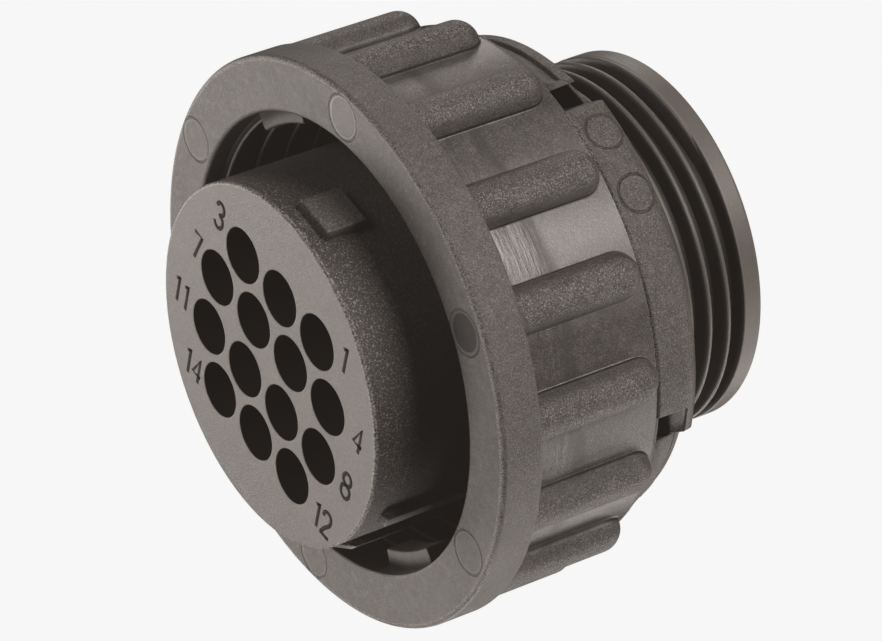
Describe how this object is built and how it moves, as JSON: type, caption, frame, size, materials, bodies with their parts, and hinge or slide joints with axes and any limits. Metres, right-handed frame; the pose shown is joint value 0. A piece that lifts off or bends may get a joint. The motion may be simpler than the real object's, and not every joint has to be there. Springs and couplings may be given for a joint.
{
  "type": "circular plastic connector",
  "caption": "Round free-hanging connector plug: a keyed plastic nose of contact cavities, a threaded rear tube, and a ribbed coupling ring that turns freely on it.",
  "frame": {"origin": "on the connector's axis, in the plane of the rear end of its thread, on which it stands", "axes": "+Z along the axis towards the mating face; seen from the mating face +X runs to the right along the numbered rows and +Y up across them"},
  "size_m": [0.0362, 0.0362, 0.0282],
  "materials": {
    "housing": "fine moulded grain",
    "ring": "moulded, spark textured on the ribs"
  },
  "bodies": {
    "housing": {"rear_body": "housing", "plug_nose": "housing"},
    "coupling_ring": {"coupling_ring": "ring"}
  },
  "joints": [
    {"name": "ring_turn", "type": "hinge", "parent": "housing", "child": "coupling_ring", "pos_m": [0, 0, 0.0085], "axis": [0, 0, 1], "continuous": true}
  ]
}
